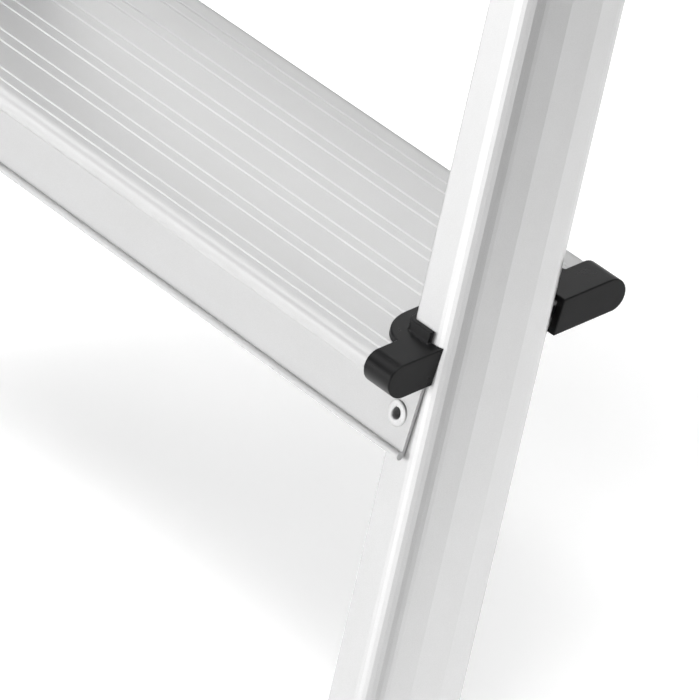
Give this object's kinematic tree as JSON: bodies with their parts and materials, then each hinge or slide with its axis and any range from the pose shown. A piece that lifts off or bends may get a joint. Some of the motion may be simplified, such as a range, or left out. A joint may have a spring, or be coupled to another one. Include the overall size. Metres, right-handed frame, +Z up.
{
  "type": "step stool",
  "caption": "Folding aluminium step stool with ribbed treads in black end caps, a standing platform, hinged rear legs and a gripped handrail.",
  "frame": {"origin": "centre of the footprint on the floor", "axes": "+Z up, +Y from the climbing side towards the rear legs, +X to the user's right when climbing"},
  "size_m": [0.4942, 0.7324, 1.1772],
  "materials": {
    "aluminium_profile": "satin, fine grain",
    "black_plastic": "satin moulded",
    "foot_rubber": "matte",
    "grip_rubber": "matte, ringed",
    "rivet_steel": "zinc plated"
  },
  "bodies": {
    "front_frame": {"stile_left": "aluminium_profile", "stile_right": "aluminium_profile", "tread_lower": "aluminium_profile", "tread_upper": "aluminium_profile", "tread_cap_lower_left": "black_plastic", "tread_cap_lower_right": "black_plastic", "tread_cap_upper_left": "black_plastic", "tread_cap_upper_right": "black_plastic", "tread_rivets_front": "rivet_steel", "tread_rivets_rear": "rivet_steel", "front_foot_left": "foot_rubber", "front_foot_right": "foot_rubber", "hinge_head_left": "black_plastic", "hinge_head_right": "black_plastic", "hinge_pins": "rivet_steel", "hinge_pin_washers": "rivet_steel", "handrail_leg_left": "aluminium_profile", "handrail_leg_right": "aluminium_profile", "handrail_elbow_left": "black_plastic", "handrail_elbow_right": "black_plastic", "handrail_bar": "aluminium_profile", "handrail_grip": "grip_rubber", "handrail_screws": "rivet_steel", "platform_pivot_pins": "rivet_steel", "platform_spacers": "black_plastic"},
    "rear_frame": {"rear_leg_left": "aluminium_profile", "rear_leg_right": "aluminium_profile", "rear_tube_upper": "aluminium_profile", "rear_tube_lower": "aluminium_profile", "tube_collars": "black_plastic", "rear_rivets": "rivet_steel", "leg_hinge_bushes": "black_plastic", "rear_foot_left": "foot_rubber", "rear_foot_right": "foot_rubber"},
    "platform": {"platform_deck": "aluminium_profile", "platform_cap_left": "black_plastic", "platform_cap_right": "black_plastic", "platform_hook_left": "black_plastic", "platform_hook_right": "black_plastic", "hook_rivets": "rivet_steel"}
  },
  "joints": [
    {"name": "rear_frame_fold", "type": "hinge", "parent": "front_frame", "child": "rear_frame", "pos_m": [0, 0.07631, 0.84], "axis": [-1, 0, 0], "range_deg": [0, 38]},
    {"name": "platform_tilt", "type": "hinge", "parent": "front_frame", "child": "platform", "pos_m": [0, -0.06825, 0.694], "axis": [1, 0, 0], "range_deg": [0, 68]}
  ]
}
